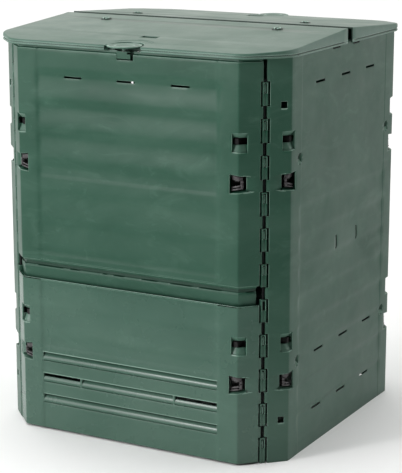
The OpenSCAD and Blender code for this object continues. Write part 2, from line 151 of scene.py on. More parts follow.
def wall_point(s, d):
    """Plan point of a wall that faces -Y: s along the outer surface from its middle, d inward."""
    a = abs(s)
    t = BEND_R * TAN_22_5
    if a <= BEND - t:
        x, y = (a if d <= BEND_R else min(a, BEND - d * TAN_22_5)), -HALF + d
    elif a >= BEND + t:
        u = a - BEND
        x, y = corner(u if d <= BEND_R else max(u, d * TAN_22_5), -d)
    elif d >= BEND_R:
        x, y = BEND - d * TAN_22_5, -HALF + d
    else:
        f = math.radians(45) * (a - BEND + t) / (2 * t)
        x = BEND - t + (BEND_R - d) * math.sin(f)
        y = -HALF + BEND_R - (BEND_R - d) * math.cos(f)
    return (math.copysign(x, s) if s else 0.0, y)


def lines(lo, hi, step, marks=(), gap=2.6):
    """Grid lines from lo to hi about step apart, with every mark kept and none nearer than gap to one."""
    marks = sorted({round(m, 3) for m in marks if lo <= m <= hi} | {lo, hi})
    out = []
    for a, b in zip(marks, marks[1:]):
        n = max(1, round((b - a) / step)) if b - a > 2 * gap else 1
        out += [a + (b - a) * k / n for k in range(n)]
    return out + [marks[-1]]


class Form:
    """A mesh under construction, in millimetres.

    Its vertices carry a painted-light value: 1 is a painted highlight, -1 painted deep shade.
    """

    def __init__(self):
        self.bm = bmesh.new()
        self.bm.verts.layers.float.new("painted_light")

    def grid(self, rows, close_u=False, close_v=False):
        """Quads over rows of points; returns the rows of vertices."""
        vs = [[self.bm.verts.new(p) for p in row] for row in rows]
        nu, nv = len(vs), len(vs[0])
        for i in range(nu if close_u else nu - 1):
            for j in range(nv if close_v else nv - 1):
                a, b = vs[i], vs[(i + 1) % nu]
                self.face([a[j], b[j], b[(j + 1) % nv], a[(j + 1) % nv]])
        return vs

    def face(self, vs):
        """Face over the vertices, less those that coincide; a face that is there already is left."""
        ring = []
        for v in vs:
            if not ring or (v.co - ring[-1].co).length > 1e-6:
                ring.append(v)
        if len(ring) > 2 and (ring[0].co - ring[-1].co).length <= 1e-6:
            ring.pop()
        if len(set(ring)) > 2:
            try:
                self.bm.faces.new(ring)
            except ValueError:
                pass

    def solid(self, polygon, z0, z1, place=None):
        """Prism over a plan polygon; place maps (x, y, z) of the prism to the row frame."""
        place = place or (lambda x, y, z: (x, y, z))
        low = [self.bm.verts.new(place(x, y, z0)) for x, y in polygon]
        top = [self.bm.verts.new(place(x, y, z1)) for x, y in polygon]
        n = len(polygon)
        self.face(low[::-1])
        self.face(top)
        for i in range(n):
            self.face([low[i], low[(i + 1) % n], top[(i + 1) % n], top[i]])
        return self

    def close_ends(self, rows):
        """Caps the first and the last ring of a swept grid."""
        self.face(rows[0][::-1])
        self.face(rows[-1])

    def box(self, x0, x1, y0, y1, z0, z1):
        return self.solid([(x0, y0), (x1, y0), (x1, y1), (x0, y1)], z0, z1)

    def corner_box(self, u0, u1, n0, n1, z0, z1, side=1):
        pts = [corner(u0, n0), corner(u1, n0), corner(u1, n1), corner(u0, n1)]
        self.solid([(side * x, y) for x, y in pts], z0, z1)

    def lathe(self, profile, centre, steps):
        """Closed turned solid: profile of (radius, z) from the axis and back to it."""
        rows = []
        for k in range(steps):
            a = 2 * math.pi * k / steps
            cx, cy = math.cos(a), math.sin(a)
            rows.append([(centre[0] + r * cx, centre[1] + r * cy, z) for r, z in profile])
        self.grid(rows, close_u=True)
        return self

    def sheet(self, ss, zs, depth, keep, thick, warp=lambda s, z: z, bright=lambda s, z: 0.0):
        """Wall sheet over grid lines: depth(s, z) inward of the outer surface, cells chosen by keep.

        thick is a length, or a function of (s, z). warp gives a point's height, bright its painted highlight
        (above 0) or painted shade (below 0).
        """
        ns, nz = len(ss) - 1, len(zs) - 1
        mid_s = [(a + b) / 2 for a, b in zip(ss, ss[1:])]
        mid_z = [(a + b) / 2 for a, b in zip(zs, zs[1:])]
        on = [[keep(a, b) for b in mid_z] for a in mid_s]

        def skin_point(s, z, layer):
            t = thick(s, z) if callable(thick) else thick
            return (*wall_point(s, depth(s, z) + layer * t), warp(s, z))

        skins = []
        painted_light = self.painted_light_layer()
        for layer in (0, 1):
            made = {}
            for i in range(ns):
                for j in range(nz):
                    if on[i][j]:
                        for key in ((i, j), (i + 1, j), (i + 1, j + 1), (i, j + 1)):
                            if key not in made:
                                s, z = ss[key[0]], zs[key[1]]
                                made[key] = self.bm.verts.new(skin_point(s, z, layer))
                                made[key][painted_light] = bright(s, z)
            skins.append(made)
        outer, inner = skins
        for i in range(ns):
            for j in range(nz):
                if not on[i][j]:
                    continue
                ring = [(i, j), (i + 1, j), (i + 1, j + 1), (i, j + 1)]
                self.face([outer[k] for k in ring])
                self.face([inner[k] for k in reversed(ring)])
                beside = [(i, j - 1), (i + 1, j), (i, j + 1), (i - 1, j)]
                for k, (p, q) in enumerate(beside):
                    if not (0 <= p < ns and 0 <= q < nz and on[p][q]):
                        a, b = ring[k], ring[(k + 1) % 4]
                        self.face([outer[b], outer[a], inner[a], inner[b]])

    def settle(self):
        """Joins meeting vertices and makes all faces look outward."""
        bmesh.ops.remove_doubles(self.bm, verts=self.bm.verts, dist=1e-4)
        bmesh.ops.dissolve_degenerate(self.bm, dist=1e-4, edges=self.bm.edges)
        bmesh.ops.recalc_face_normals(self.bm, faces=self.bm.faces)
        return self

    def carve(self, others, operation):
        """Boolean of this solid with the others, in turn."""
        def stand_in(form):
            mesh = bpy.data.meshes.new("solid")
            form.bm.to_mesh(mesh)
            ob = bpy.data.objects.new("solid", mesh)
            bpy.context.scene.collection.objects.link(ob)
            return ob

        main = stand_in(self)
        tools = [stand_in(o) for o in others]
        for tool in tools:
            m = main.modifiers.new("cut", "BOOLEAN")
            m.operation = operation
            m.solver = "EXACT"
            m.object = tool
        view = bpy.context.evaluated_depsgraph_get()
        result = bpy.data.meshes.new_from_object(main.evaluated_get(view))
        self.bm.free()
        self.bm = bmesh.new()
        self.bm.verts.layers.float.new("painted_light")
        self.bm.from_mesh(result)
        for ob in [main, *tools]:
            mesh = ob.data
            bpy.data.objects.remove(ob)
            bpy.data.meshes.remove(mesh)
        bpy.data.meshes.remove(result)
        return self

    def round_edges(self, width, angle=62):
        """Rounds every edge sharper than angle; the middle of an outer edge gets a painted highlight."""
        self.settle()
        bm = self.bm
        sharp = [e for e in bm.edges
                 if len(e.link_faces) == 2 and e.calc_face_angle(0) > math.radians(angle)]
        made = bmesh.ops.bevel(bm, geom=sharp, offset=width, offset_type="OFFSET", segments=2,
                               profile=0.5, affect="EDGES", clamp_overlap=False)
        painted_light = self.painted_light_layer()
        strips = set(made["faces"])
        for v in made["verts"]:
            if v.is_valid and v.link_faces and all(f in strips for f in v.link_faces):
                centre = sum((f.calc_center_median() for f in v.link_faces), Vector())
                centre /= len(v.link_faces)
                v.normal_update()
                v[painted_light] = 1.0 if (centre - v.co).dot(v.normal) < 0 else 0.0
        return self

    def add(self, other, mirror=(1, 1)):
        """Copies another form in, mirrored in X and Y as asked."""
        mesh = bpy.data.meshes.new("part")
        other.bm.to_mesh(mesh)
        mesh.transform(Matrix.Diagonal((mirror[0], mirror[1], 1, 1)))
        if mirror[0] * mirror[1] < 0:
            mesh.flip_normals()
        self.bm.from_mesh(mesh)
        bpy.data.meshes.remove(mesh)
        return self

    def piece(self, name, body, slot, material, nodes=(), turn=0.0):
        """Writes the form out, turned about Z, as an object that rides on a body and stands for nodes."""
        bm = self.bm
        place = Matrix.Rotation(math.radians(turn), 4, "Z") @ Matrix.Scale(MM, 4)
        bmesh.ops.transform(bm, matrix=place, verts=bm.verts)
        for f in bm.faces:
            f.smooth = True
        for e in bm.edges:
            e.smooth = not (len(e.link_faces) == 2 and e.calc_face_angle(0) > SHARP)
        mesh = bpy.data.meshes.new(name)
        bm.to_mesh(mesh)
        mesh.materials.append(material)
        ob = bpy.data.objects.new(name, mesh)
        bpy.context.scene.collection.objects.link(ob)
        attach(ob, body)
        if nodes:
            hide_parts(*nodes)
        return ob

    def copy(self):
        twin = Form()
        twin.bm.free()
        twin.bm = self.bm.copy()
        return twin

    def painted_light_layer(self):
        return self.bm.verts.layers.float.get("painted_light")


# ---- materials ---------------------------------------------------------------------------------
def nodes_of(name):
    mat = bpy.data.materials.new(name)
    mat.use_nodes = True
    nt = mat.node_tree
    bsdf = nt.nodes["Principled BSDF"]
    return mat, nt, bsdf


def noise(nt, coord, scale, detail=3.0, rough=0.5, distort=0.0, stretch=None):
    if stretch:
        m = nt.nodes.new("ShaderNodeMapping")
        m.inputs["Scale"].default_value = stretch
        nt.links.new(coord, m.inputs["Vector"])
        coord = m.outputs["Vector"]
    n = nt.nodes.new("ShaderNodeTexNoise")
    n.inputs["Scale"].default_value = scale
    n.inputs["Detail"].default_value = detail
    n.inputs["Roughness"].default_value = rough
    n.inputs["Distortion"].default_value = distort
    nt.links.new(coord, n.inputs["Vector"])
    return n.outputs["Fac"]


def ramp(nt, fac, stops):
    r = nt.nodes.new("ShaderNodeValToRGB")
    while len(r.color_ramp.elements) < len(stops):
        r.color_ramp.elements.new(0.5)
    for e, (pos, col) in zip(r.color_ramp.elements, stops):
        e.position = pos
        e.color = (*col, 1) if len(col) == 3 else (col[0],) * 3 + (1,)
    nt.links.new(fac, r.inputs["Fac"])
    return r.outputs["Color"]


def fade_in(nt, fac, start, end, amount):
    """Grey that is 0 up to start and rises to amount at end."""
    return ramp(nt, fac, [(start, (0.0,)), (end, (amount,))])


def scaled(colour, factor, lift=0.0):
    return tuple(min(1.0, c * factor + lift) for c in colour)


def mix(nt, fac, a, b, mode="MIX"):
    m = nt.nodes.new("ShaderNodeMix")
    m.data_type = "RGBA"
    m.blend_type = mode
    for socket, value in ((m.inputs["Factor"], fac), (m.inputs["A"], a), (m.inputs["B"], b)):
        if isinstance(value, (int, float)):
            socket.default_value = value
        elif isinstance(value, tuple):
            socket.default_value = (*value, 1)
        else:
            nt.links.new(value, socket)
    return m.outputs["Result"]


def z_of(nt, vector):
    parts = nt.nodes.new("ShaderNodeSeparateXYZ")
    nt.links.new(vector, parts.inputs["Vector"])
    return parts.outputs["Z"]


def bump(nt, height, strength, distance, normal=None):
    b = nt.nodes.new("ShaderNodeBump")
    b.inputs["Strength"].default_value = strength
    b.inputs["Distance"].default_value = distance
    nt.links.new(height, b.inputs["Height"])
    if normal:
        nt.links.new(normal, b.inputs["Normal"])
    return b.outputs["Normal"]


def moulded_plastic(name, dark, mid, light, rough, wave=0.5, bloom_and_sheen=0.0, specular=0.4, smears=0.5):
    """Injection-moulded polypropylene: flow mottling, chalky smears, painted highlights on edges, painted
    shade in crevices and shaded spots, grain.
    """
    mat, nt, bsdf = nodes_of(name)
    coord = nt.nodes.new("ShaderNodeTexCoord").outputs["Object"]
    flow = noise(nt, coord, 2.6, 5, 0.55, 0.6, (1.0, 1.0, 2.2))
    base = ramp(nt, flow, [(0.34, dark), (0.50, mid), (0.68, light)])
    chalk = scaled(light, 1.3, 0.022)
    streak = noise(nt, coord, 5.5, 6, 0.62, 0.9, (1.0, 1.0, 2.8))
    base = mix(nt, fade_in(nt, streak, 0.54, 0.72, smears), base, chalk)
    scuffs = noise(nt, coord, 13, 8, 0.66, 1.6, (1.0, 1.0, 1.7))
    base = mix(nt, fade_in(nt, scuffs, 0.60, 0.74, smears * 0.8), base, scaled(chalk, 1.15))
    spots = noise(nt, coord, 42, 4, 0.6)
    base = mix(nt, fade_in(nt, spots, 0.48, 0.85, 0.30), base, light)
    # painted highlights make edges bright, painted shade makes shaded spots nearly black
    painted_light = nt.nodes.new("ShaderNodeAttribute")
    painted_light.attribute_name = "painted_light"
    edges = fade_in(nt, painted_light.outputs["Fac"], 0.0, 0.75, 0.85)
    base = mix(nt, edges, base, scaled(light, 2.4, 0.17))
    shaded = nt.nodes.new("ShaderNodeMath")
    shaded.operation = "MULTIPLY"
    shaded.inputs[1].default_value = -1.0
    nt.links.new(painted_light.outputs["Fac"], shaded.inputs[0])
    base = mix(nt, fade_in(nt, shaded.outputs["Value"], 0.0, 1.0, 0.9), base, scaled(dark, 0.1))
    # painted shade: the colour is darkened in crevices and narrow gaps where shade falls
    cranny = nt.nodes.new("ShaderNodeAmbientOcclusion")
    cranny.samples = 6
    cranny.inputs["Distance"].default_value = 0.016
    painted_crevice_shade = ramp(nt, cranny.outputs["AO"], [(0.15, (0.95,)), (0.66, (0.0,))])
    base = mix(nt, painted_crevice_shade, base, scaled(dark, 0.12))
    # painted light: lighter and patchy near the ground, fading with height, for light thrown up from the
    # floor
    painted_floor_glow = ramp(nt, z_of(nt, coord), [(0.0, (0.62,)), (0.42, (0.0,))])
    patchy = ramp(nt, noise(nt, coord, 3.4, 4, 0.6, 0.4), [(0.3, (0.65,)), (0.7, (1.0,))])
    base = mix(nt, mix(nt, 1.0, painted_floor_glow, patchy, "MULTIPLY"), base, scaled(light, 1.1, 0.06))
    # bloom and painted sheen: faces that look up are lightened in a whitish haze, partly chalky weathering
    # and partly painted light from above
    if bloom_and_sheen:
        normal = nt.nodes.new("ShaderNodeNewGeometry").outputs["Normal"]
        haze = ramp(nt, noise(nt, coord, 5.0, 4, 0.6, 0.3), [(0.35, (0.35 * bloom_and_sheen,)), (0.7, (bloom_and_sheen,))])
        top = fade_in(nt, z_of(nt, normal), 0.75, 0.97, 1.0)
        base = mix(nt, mix(nt, 1.0, haze, top, "MULTIPLY"), base, (0.62, 0.66, 0.60))
    nt.links.new(base, bsdf.inputs["Base Color"])
    polish = ramp(nt, noise(nt, coord, 9, 4, 0.6), [(0.3, (rough[0],)), (0.75, (rough[1],))])
    nt.links.new(polish, bsdf.inputs["Roughness"])
    bsdf.inputs["Specular IOR Level"].default_value = specular
    swell = bump(nt, noise(nt, coord, 7.5, 2, 0.4, 0.4, (1, 1, 1.6)), wave, 0.004)
    ripple = bump(nt, noise(nt, coord, 38, 2, 0.5), 0.10, 0.0012, swell)
    grain = bump(nt, noise(nt, coord, 900, 2, 0.6), 0.10, 0.0002, ripple)
    nt.links.new(grain, bsdf.inputs["Normal"])
    return mat


def drawn_steel(name, tint, rough):
    """Coated drawn rod: fine lengthwise scratches and dull patches."""
    mat, nt, bsdf = nodes_of(name)
    coord = nt.nodes.new("ShaderNodeTexCoord").outputs["Object"]
    base = ramp(nt, noise(nt, coord, 60, 4, 0.6), [(0.3, scaled(tint, 0.6)), (0.7, tint)])
    nt.links.new(base, bsdf.inputs["Base Color"])
    bsdf.inputs["Metallic"].default_value = 1.0
    dull = ramp(nt, noise(nt, coord, 120, 3, 0.6), [(0.3, (rough,)), (0.8, (rough + 0.25,))])
    nt.links.new(dull, bsdf.inputs["Roughness"])
    nt.links.new(bump(nt, noise(nt, coord, 500, 3, 0.7), 0.25, 0.0002), bsdf.inputs["Normal"])
    return mat


WALL = moulded_plastic("wall_green", (0.010, 0.055, 0.032), (0.016, 0.067, 0.041), (0.029, 0.083, 0.055),
                       rough=(0.34, 0.46), specular=0.24, smears=0.4)
FLAP = moulded_plastic("flap_green", (0.011, 0.062, 0.037), (0.018, 0.074, 0.047), (0.031, 0.090, 0.060),
                       rough=(0.24, 0.30), wave=0.12, specular=0.38, smears=0.4)
# the lid's green is lighter than the walls': partly weathering, partly painted light for the light the lid
# catches from above
LID = moulded_plastic("lid_green", (0.042, 0.106, 0.074), (0.052, 0.120, 0.087), (0.072, 0.138, 0.106),
                      rough=(0.34, 0.48), wave=0.3, bloom_and_sheen=0.14, specular=0.42, smears=0.35)
# near-black plastic: painted shade, standing in for the dark inside of the closed bin
INNER_SHADE = moulded_plastic("inner_painted_shade", (0.003, 0.003, 0.003), (0.006, 0.006, 0.006), (0.012, 0.012, 0.012),
                        rough=(0.6, 0.75), wave=0.3, specular=0.2, smears=0.0)
CLAW = moulded_plastic("claw_grey", (0.022, 0.020, 0.021), (0.036, 0.033, 0.035), (0.055, 0.050, 0.053),
                       rough=(0.4, 0.55), wave=0.3)
ROD = drawn_steel("dark_rod", (0.02, 0.022, 0.022), 0.5)
CLIP = drawn_steel("spring_clip", (0.10, 0.10, 0.10), 0.4)


# ---- walls -------------------------------------------------------------------------------------
def wave(z, low, high, depth):
    """Soft horizontal corrugation: a short downward-facing slope and a long upward-facing one."""
    if not low < z < high:
        return 0.0
    p = ((WAVE_Z - z) / WAVE_PITCH) % 1.0
    if z < WAVE_SOFT_Z:
        depth *= 0.62
    if p < WAVE_STEEP:
        return depth * smooth(p / WAVE_STEEP)
    return depth * (1 - smooth((p - WAVE_STEEP) / (1 - WAVE_STEEP)))


def field_depth(s, z, low, high, depth):
    """Panel field set back behind a thin border line, with the corrugation fading just past it."""
    a = abs(s)
    back = FIELD_STEP * smooth((FIELD + 0.6 - a) / 1.2)
    return back + wave(z, low, high, depth) * smooth((FIELD + 14 - a) / 22)


def rolled(s):
    """The free edge of a flange rolls inward."""
    return 2.6 * smooth((abs(s) - BEND - FLANGE_U + 6) / 6) ** 2


def slot_marks(z, shift):
    """Grid lines of a row of three air slots: those across it and those along it."""
    across = [shift + i * SLOT_PITCH + e * SLOT_L / 2 for i in (-1, 0, 1) for e in (-1, 1)]
    return across, [z - SLOT_H / 2, z + SLOT_H / 2]


def in_slots(s, z, row, reach=0.0):
    """True in a slot of the row, and up to reach beyond its edges."""
    height, shift = row
    level = abs(z - height) < SLOT_H / 2 + reach
    return level and any(abs(s - shift - i * SLOT_PITCH) < SLOT_L / 2 + reach for i in (-1, 0, 1))


def in_uprights(s, z, reach=0.0):
    """True in one of a side wall's two upright slots, and up to reach beyond its edges."""
    beside = any(abs(s - x) < SLOT_H / 2 + reach for x in UPRIGHT_SLOTS)
    return beside and UPRIGHT_LOW - reach < z < UPRIGHT_TOP + reach


# pockets, with their ends measured from the bend: -u on the face, +u on the chamfer
POCKET_U = 22.0
SQUARE_S = (BEND - 18, BEND + POCKET_U)
FLARE_START = -24.0
FLARED_S = (BEND + FLARE_START, BEND + POCKET_U)
RAMP_U = 40.0
RAMP_DEPTH = 6.0
FLARE_END = 52.0
FLARE_REACH = 60.0
FLARE = 0.72
MOUTH = 23.0
LIP_H = 1.3


def flare(s, z, centres):
    """Height of a grid point when the flared pockets' mouths are drawn in towards the hinge."""
    u = abs(s) - BEND
    if u <= FLARE_START or u >= FLARE_END:
        return z
    if u < RAMP_U:
        k = 1 - (1 - FLARE) * (u - FLARE_START) / (RAMP_U - FLARE_START)
    else:
        k = FLARE + (1 - FLARE) * (u - RAMP_U) / (FLARE_END - RAMP_U)
    for centre in centres:
        d = abs(z - centre)
        if d < FLARE_REACH:
            if d <= MOUTH:
                d = d * k
            else:
                d = MOUTH * k + (d - MOUTH) * (FLARE_REACH - MOUTH * k) / (FLARE_REACH - MOUTH)
            return centre + math.copysign(d, z - centre)
    return z


def ramp_depth(s, z, centres):
    """Shallow ramp that leads into a flared pocket from the hinge side."""
    u = abs(s) - BEND
    if POCKET_U - 1 < u < RAMP_U and any(abs(z - c) < MOUTH + 0.4 for c in centres):
        return RAMP_DEPTH * (RAMP_U - u) / (RAMP_U - POCKET_U)
    return 0.0


def lip(s, z, centres):
    """Painted highlight on the lower lip of a flared pocket's ramp."""
    u = abs(s) - BEND
    on_lip = 20 < u < RAMP_U - 1 and any(abs(z - c + MOUTH + LIP_H) < 0.4 for c in centres)
    return 1.0 if on_lip else 0.0


def in_pocket(s, z, centre):
    a = abs(s)
    return ((SQUARE_S[0] < a < SQUARE_S[1] and abs(z - centre) < MOUTH)
            or (FLARED_S[0] < a < FLARED_S[1] and abs(z - centre + POCKET_DROP) < MOUTH))


def in_notch(s, z, first, last):
    """True in a notch that a knuckle fits; the lowest notch is open towards the ground."""
    if abs(s) - BEND < NOTCH_U:
        return False
    for i in range(first, last + 1):
        below = NOTCH_GAP if i else KNUCKLE_Z + NOTCH_GAP
        if block_z(i) - below < z < block_z(i) + KNUCKLE_H + NOTCH_GAP:
            return True
    return False


def both(values):
    return [e * v for v in values for e in (-1, 1)]


def notch_marks(first, last):
    starts = [block_z(i) for i in range(first, last + 1)]
    return [z for start in starts for z in (start - NOTCH_GAP, start + KNUCKLE_H + NOTCH_GAP)]


def pocket_marks(centre):
    return [*(centre + e * MOUTH for e in (-1, 1)),
            *(centre - POCKET_DROP + e * (MOUTH + g) for e in (-1, 1) for g in (0, LIP_H, 3.0))]


BEND_LINES = both([BEND - 3.3, BEND - 1.6, BEND, BEND + 1.6, BEND + 3.3])
EDGE_S = BEND_LINES + both([*SQUARE_S, FLARED_S[0], BEND + RAMP_U, BEND + FLARE_END - 1,
                            BEND + NOTCH_U, BEND + FLANGE_U, BEND + FLANGE_U - 3,
                            FIELD + 0.6, FIELD - 0.6])


def pocket_insert(form, centre, side, flared):
    """Recess behind a pocket opening, with a hole in its back for the claw of the corner brace."""
    s0, s1 = FLARED_S if flared else SQUARE_S
    count = 10
    outer = [wall_point(s0 + (s1 - s0) * k / count, 0.6) for k in range(count + 1)]
    back = 19 if flared else 14
    p0, p1 = (s0 + 2, -HALF + back), corner(21, -back - 1)
    mid = (BEND - 1, -HALF + back + 1)
    inner = []
    for k in range(count + 1):
        t = k / count
        inner.append(tuple((1 - t) ** 2 * p0[a] + 2 * t * (1 - t) * mid[a] + t * t * p1[a] for a in (0, 1)))
    # sections of the recess above and below the hole: (height, share of the way to its back)
    if flared:
        levels = ([(23.4, 0.0), (22.8, 0.06), (21.0, 0.94)],
                  [(-16.5, 0.80), (-18.0, 0.78), (-22.6, 0.10), (-23.4, 0.0)])
    else:
        levels = ([(23.4, 0.0), (22.6, 0.05), (12.0, 0.74), (11.4, 0.95)],
                  [(-4.4, 0.95), (-5.0, 0.74), (-20.8, 0.30), (-21.8, 0.05), (-23.6, 0.0)])

    def row(z, g):
        return [(side * (a[0] + (b[0] - a[0]) * g), a[1] + (b[1] - a[1]) * g,
                 flare(s0 + (s1 - s0) * k / count, centre + z, [centre] if flared else []))
                for k, (a, b) in enumerate(zip(outer, inner))]

    painted_light = form.painted_light_layer()
    for part in levels:
        for a, b in zip(part, part[1:]):
            strip = form.grid([row(*a), row(*b)])
            # painted highlight: faint over a square recess, bright along the lower lip of each recess
            if not flared:
                for v in strip[0] + strip[1]:
                    v[painted_light] = 0.2
            if b[0] < -MOUTH:
                for k, (v, v2) in enumerate(zip(*strip)):
                    v[painted_light] = v2[painted_light] = 1.0 if flared else smooth(1.4 - k / 5)
        # end walls of the recess above and below the hole
        for k in (0, count):
            form.grid([[row(z, g * f)[k] for f in (0.0, 0.5, 1.0)] for z, g in part])


def claws(form, centre, side):
    """Grey claws of a corner brace as they show in the flared pocket: bars and a split upright plate."""
    c = centre - POCKET_DROP

    def bar(u_out, depth, z0, z1, drop):
        """Bar round the bend; its inner end lies lower by drop."""
        ss = (BEND - 23, BEND - 11.5, BEND - 3, BEND + 3, BEND + u_out)
        pts = [wall_point(s, depth) for s in ss] + [wall_point(s, depth + 9) for s in reversed(ss)]

        def sloped(x, y, z):
            return (side * x, y, z - drop * max(0.0, (BEND - x) / 24))

        form.solid(pts, z0, z1, sloped)

    bar(13.5, 9.0, c + 7.0, c + 16, -3.0)
    bar(13.5, 8.0, c - 5.5, c - 2.0, 7.0)
    bar(14.0, 7.0, c - 12.0, c - 9.0, 6.0)
    form.corner_box(8.5, 14.0, -13, -6.0, c - 9.6, c + 1.0, side)
    form.corner_box(8.5, 14.0, -13, -6.0, c + 2.6, c + 8.5, side)


def knuckle(form, z0, side, low=0.0):
    """Block of a side wall on its right-hand corner: two strips, cap and foot round an open window."""
    z1 = z0 + KNUCKLE_H
    w = KNUCKLE_W / 2
    block = [(-w, -14), (-w, -1.8), (1.1 - w, -0.5), (3.2 - w, -0.2), (5.6 - w, -1.5), (0.6, -1.9),
             (w - 5.0, -1.3), (w - 2.6, -0.2), (w - 1.0, -0.5), (w, -1.8), (w, -14)]
    inner_strip = [(-w, -6), (-w, -1.8), (1.1 - w, -0.5), (2.4 - w, -0.3), (3.3 - w, -1.4), (3.3 - w, -6)]
    outer_strip = [(3.3, -14), (3.3, -1.4), (4.2, -0.3), (w - 1.1, -0.5), (w, -1.8), (w, -14)]
    for section, low_z, top_z in ((block, z0 - low, z0 + 29), (block, z0 + 51.5, z1),
                                  (inner_strip, z0 + 28, z0 + 52.5), (outer_strip, z0 + 28, z0 + 52.5)):
        plan = [corner(MID_U + u, n) for u, n in section]
        form.solid([(side * x, y) for x, y in plan], low_z, top_z)
    form.corner_box(NOTCH_U - 6, MID_U - w + 0.5, -17, -13.0, z0 - low, z0 + 27, side)


def hook(form, z0, side):
    """Hook of a front or rear panel in the window of a block: an arm that ends in an upright tongue."""
    form.corner_box(MID_U - 16.5, MID_U + 1.6, -12.5, -6.8, z0 + 31, z0 + 49, side)
    form.corner_box(MID_U - 2.2, MID_U + 1.7, -12.5, -0.6, z0 + 30.5, z0 + 49.0, side)


def front_wall(z_low, z_high, waves, notches, pocket, extra_s=(), extra_z=(), cut=lambda s, z: False,
               bright=lambda s, z: 0.0):
    """Sheet of a panel or flap. waves is (lowest, highest, depth), notches (first, last block)."""
    zs = lines(z_low, z_high, 6, [*notch_marks(*notches), *pocket_marks(pocket), *extra_z])
    ss = lines(-BEND - FLANGE_U, BEND + FLANGE_U, 11, [*EDGE_S, *extra_s])
    mouths = [pocket - POCKET_DROP]

    def depth(s, z):
        under_lid = 5.0 * smooth((z - 983.5) / 2.5)
        return field_depth(s, z, *waves) + rolled(s) + ramp_depth(s, z, mouths) + under_lid

    def keep(s, z):
        return not (in_notch(s, z, *notches) or in_pocket(s, z, pocket) or cut(s, z))

    form = Form()
    form.sheet(ss, zs, depth, keep, WALL_T, lambda s, z: flare(s, z, mouths),
               lambda s, z: max(lip(s, z, mouths), bright(s, z)))
    form.round_edges(0.9)
    return form


def add_pockets(form, *centres):
    """Recesses of the square pockets at the centres and of the flared pockets below them."""
    inserts = Form()
    for side in (-1, 1):
        for centre in centres:
            pocket_insert(inserts, centre, side, False)
            pocket_insert(inserts, centre - POCKET_DROP, side, True)
    form.add(inserts)


def make_front_panel():
    across, along = slot_marks(*SLOT_ROWS[0])
    foot = (-22.0, 23.5)
    foot_low = FOOT_LOW - 3

    def cut(s, z):
        return (in_slots(s, z, SLOT_ROWS[0]) or (abs(s) < LATCH_NOTCH and z > RIM_Z)
                or (foot[0] < s < foot[1] and z > foot_low))

    form = front_wall(BAND_TOP, WALL_TOP, (470, WAVE_Z, 3.9), (5, 10), POCKET_HIGH,
                      [*across, -LATCH_NOTCH, LATCH_NOTCH, *foot], [*along, foot_low, 983.5, 986.0, RIM_Z],
                      cut)
    band = Form()
    ss = lines(-BEND - NOTCH_U + 6, BEND + NOTCH_U - 6, 16, BEND_LINES)

    def band_strip(zs, depth, thick, bright=0.0):
        band.sheet(ss, zs, lambda s, z: depth(z), lambda s, z: True, thick, bright=lambda s, z: bright)

    # the band, a shelf behind its top, the groove above it with painted shade, and the ledge over the groove
    band_strip([BAND_LOW, 405, 420, 426, 431, 434],
               lambda z: BAND_STEP - 3 * smooth((z - 412) / 12) + 2 * smooth((z - 430) / 4), WALL_T)
    band_strip([430.5, 434.0], lambda z: BAND_STEP - 1, 14)
    band_strip([432, 436, 440, BAND_TOP + 3], lambda z: BAND_STEP + 0.5, WALL_T, -0.5)
    band_strip([443.0, 446.0, BAND_TOP + WALL_T], lambda z: 6.5 - 6.3 * smooth((z - 442) / 10), 9)
    form.add(band.round_edges(0.6))
    add_pockets(form, POCKET_HIGH)
    hooks = Form()
    for side in (-1, 1):
        for i in range(5, KNUCKLES):
            hook(hooks, block_z(i), side)
    # bridge that the turned latch holds on to
    hooks.box(-30, 33, -LATCH_Y + 11, -LATCH_Y + 22, BRIDGE_LOW, BRIDGE_TOP)
    for x in (-30, 28):
        hooks.box(x, x + 5, -HALF + WALL_T + 6, -LATCH_Y + 22, BRIDGE_LOW - 6, BRIDGE_TOP - 0.1)
    form.add(hooks.round_edges(0.5))
    return form


def louvre(form, z0, x0, x1, is_open):
    """One louvre blade, swept along x: it rolls inward as it rises, up to a shelf under the slot's top."""
    y = -HALF
    z1 = z0 + LOUVRE_H
    back_y = y + LOUVRE_D + 3
    section = [(y + 3.4, z0 - 1.5)]
    top = LOUVRE_H - (LOUVRE_GAP if is_open else 0)
    for k in range(17):
        t = k / 16
        if LOUVRE_H * t <= top:
            if t < LOUVRE_CREST:
                roll = 2.8 * (1 - t / LOUVRE_CREST) ** 1.6
            else:
                roll = LOUVRE_D * ((t - LOUVRE_CREST) / (1 - LOUVRE_CREST)) ** 1.8
            section.append((y + 0.5 + roll, z0 - 0.2 + LOUVRE_H * t))
    back = [(a + 3, b) for a, b in reversed(section)]
    shelf = [(y + WALL_T - 1, z1 + 0.4), (y + WALL_T - 1, z1 + 2.4), (back_y, z1 + 2.4)]
    ring = section + ([] if is_open else shelf) + back
    xs = lines(x0, x1, 60, [x0 + 2.5, x1 - 2.5], 1)
    form.close_ends(form.grid([[(x, a, b) for a, b in ring] for x in xs], close_v=True))
    cheek = [(y + 0.8, z0 - 1), (back_y, z1), (back_y, z1 + 2.4), (y + 0.8, z1 + 0.4)]
    for start, end in ((x0 - 1.2, x0 + 1.8), (x1 - 1.8, x1 + 1.2)):
        form.solid(cheek, start, end, lambda a, b, c: (c, a, b))


